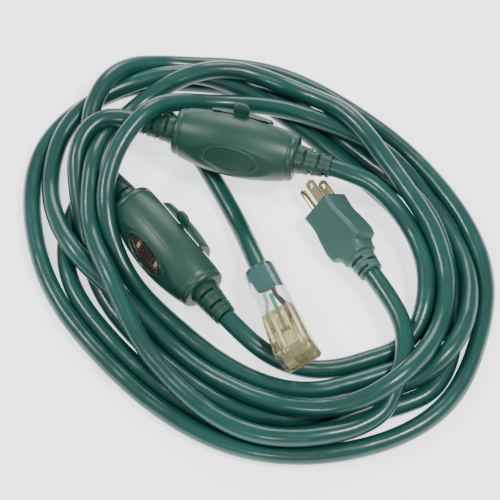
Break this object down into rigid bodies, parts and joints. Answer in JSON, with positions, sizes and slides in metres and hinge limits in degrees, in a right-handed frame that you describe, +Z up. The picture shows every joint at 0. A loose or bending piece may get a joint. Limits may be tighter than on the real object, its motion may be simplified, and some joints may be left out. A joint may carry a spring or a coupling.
{
  "type": "extension cord",
  "caption": "Loosely coiled outdoor extension cord with a grounded plug, in-line outlet housings under flip covers, and a clear lighted end connector.",
  "frame": {"origin": "on the floor, under the middle of the box round both outlet housings, as the cord lies coiled", "axes": "+Z up from the floor the cord lies on, +Y across the coil towards the upper housing, +X along the coil's width to the right"},
  "size_m": [0.3072, 0.3072, 0.0572],
  "materials": {
    "cable_jacket": "glossy vinyl jacket, slightly wavy over its twisted conductors",
    "boot_green": "satin moulded vinyl",
    "brass": "bright stamped brass",
    "steel": "zinc plated",
    "wire_black": "smooth insulation",
    "wire_white": "smooth insulation",
    "wire_green": "smooth insulation",
    "clear_plastic": "clear moulded vinyl, faintly yellow",
    "pale_insert": "pale moulded insert",
    "lamp_amber": "small indicator lamp",
    "smoky_lens": "smoky translucent window",
    "circuit_board": "indicator board",
    "insert_black": "black moulded insert",
    "plug_green": "satin moulded vinyl",
    "housing_green": "satin moulded plastic"
  },
  "bodies": {
    "root": {"connector_body": "clear_plastic", "connector_carrier": "pale_insert", "connector_collar": "clear_plastic", "connector_ground_contact": "brass", "connector_ground_wire": "wire_green", "connector_jacket_end": "cable_jacket", "connector_lamp": "lamp_amber", "connector_line_contact": "brass", "connector_line_wire": "wire_black", "connector_neutral_contact": "brass", "connector_neutral_wire": "wire_white", "cord_coil": "cable_jacket", "end_lead": "cable_jacket", "end_tail": "cable_jacket", "link_head": "cable_jacket", "link_tail": "cable_jacket", "lower_ground_contact": "brass", "lower_ground_wire": "wire_green", "lower_hinge_pin": "steel", "lower_indicator_board": "circuit_board", "lower_indicator_lamps": "lamp_amber", "lower_left_boot": "boot_green", "lower_line_contact": "brass", "lower_line_wire": "wire_black", "lower_neutral_contact": "brass", "lower_neutral_wire": "wire_white", "lower_outlet_shell": "housing_green", "lower_panel_shell": "housing_green", "lower_receptacle": "insert_black", "lower_right_boot": "boot_green", "lower_shell_screws": "steel", "lower_window": "smoky_lens", "plug_body": "plug_green", "plug_boot": "boot_green", "plug_bridge": "insert_black", "plug_cable_stub": "cable_jacket", "plug_ground_pin": "brass", "plug_ground_wire": "wire_green", "plug_line_blade": "brass", "plug_line_wire": "wire_black", "plug_neutral_blade": "brass", "plug_neutral_wire": "wire_white", "supply_lead": "cable_jacket", "supply_tail": "cable_jacket", "upper_blank_badge": "housing_green", "upper_ground_contact": "brass", "upper_ground_wire": "wire_green", "upper_hinge_pin": "steel", "upper_left_boot": "boot_green", "upper_line_contact": "brass", "upper_line_wire": "wire_black", "upper_neutral_contact": "brass", "upper_neutral_wire": "wire_white", "upper_outlet_shell": "housing_green", "upper_panel_shell": "housing_green", "upper_receptacle": "insert_black", "upper_right_boot": "boot_green", "upper_shell_screws": "steel"},
    "upper_cover": {"upper_flip_cover": "housing_green"},
    "lower_cover": {"lower_flip_cover": "housing_green"}
  },
  "joints": [
    {"name": "upper_cover_hinge", "type": "hinge", "parent": "root", "child": "upper_cover", "pos_m": [0.01827, 0.07032, 0.02391], "axis": [-0.9627, 0.2706, 0], "range_deg": [0, 90]},
    {"name": "lower_cover_hinge", "type": "hinge", "parent": "root", "child": "lower_cover", "pos_m": [-0.01443, -0.00743, 0.01331], "axis": [-0.599, 0.8007, 0], "range_deg": [0, 90]}
  ]
}
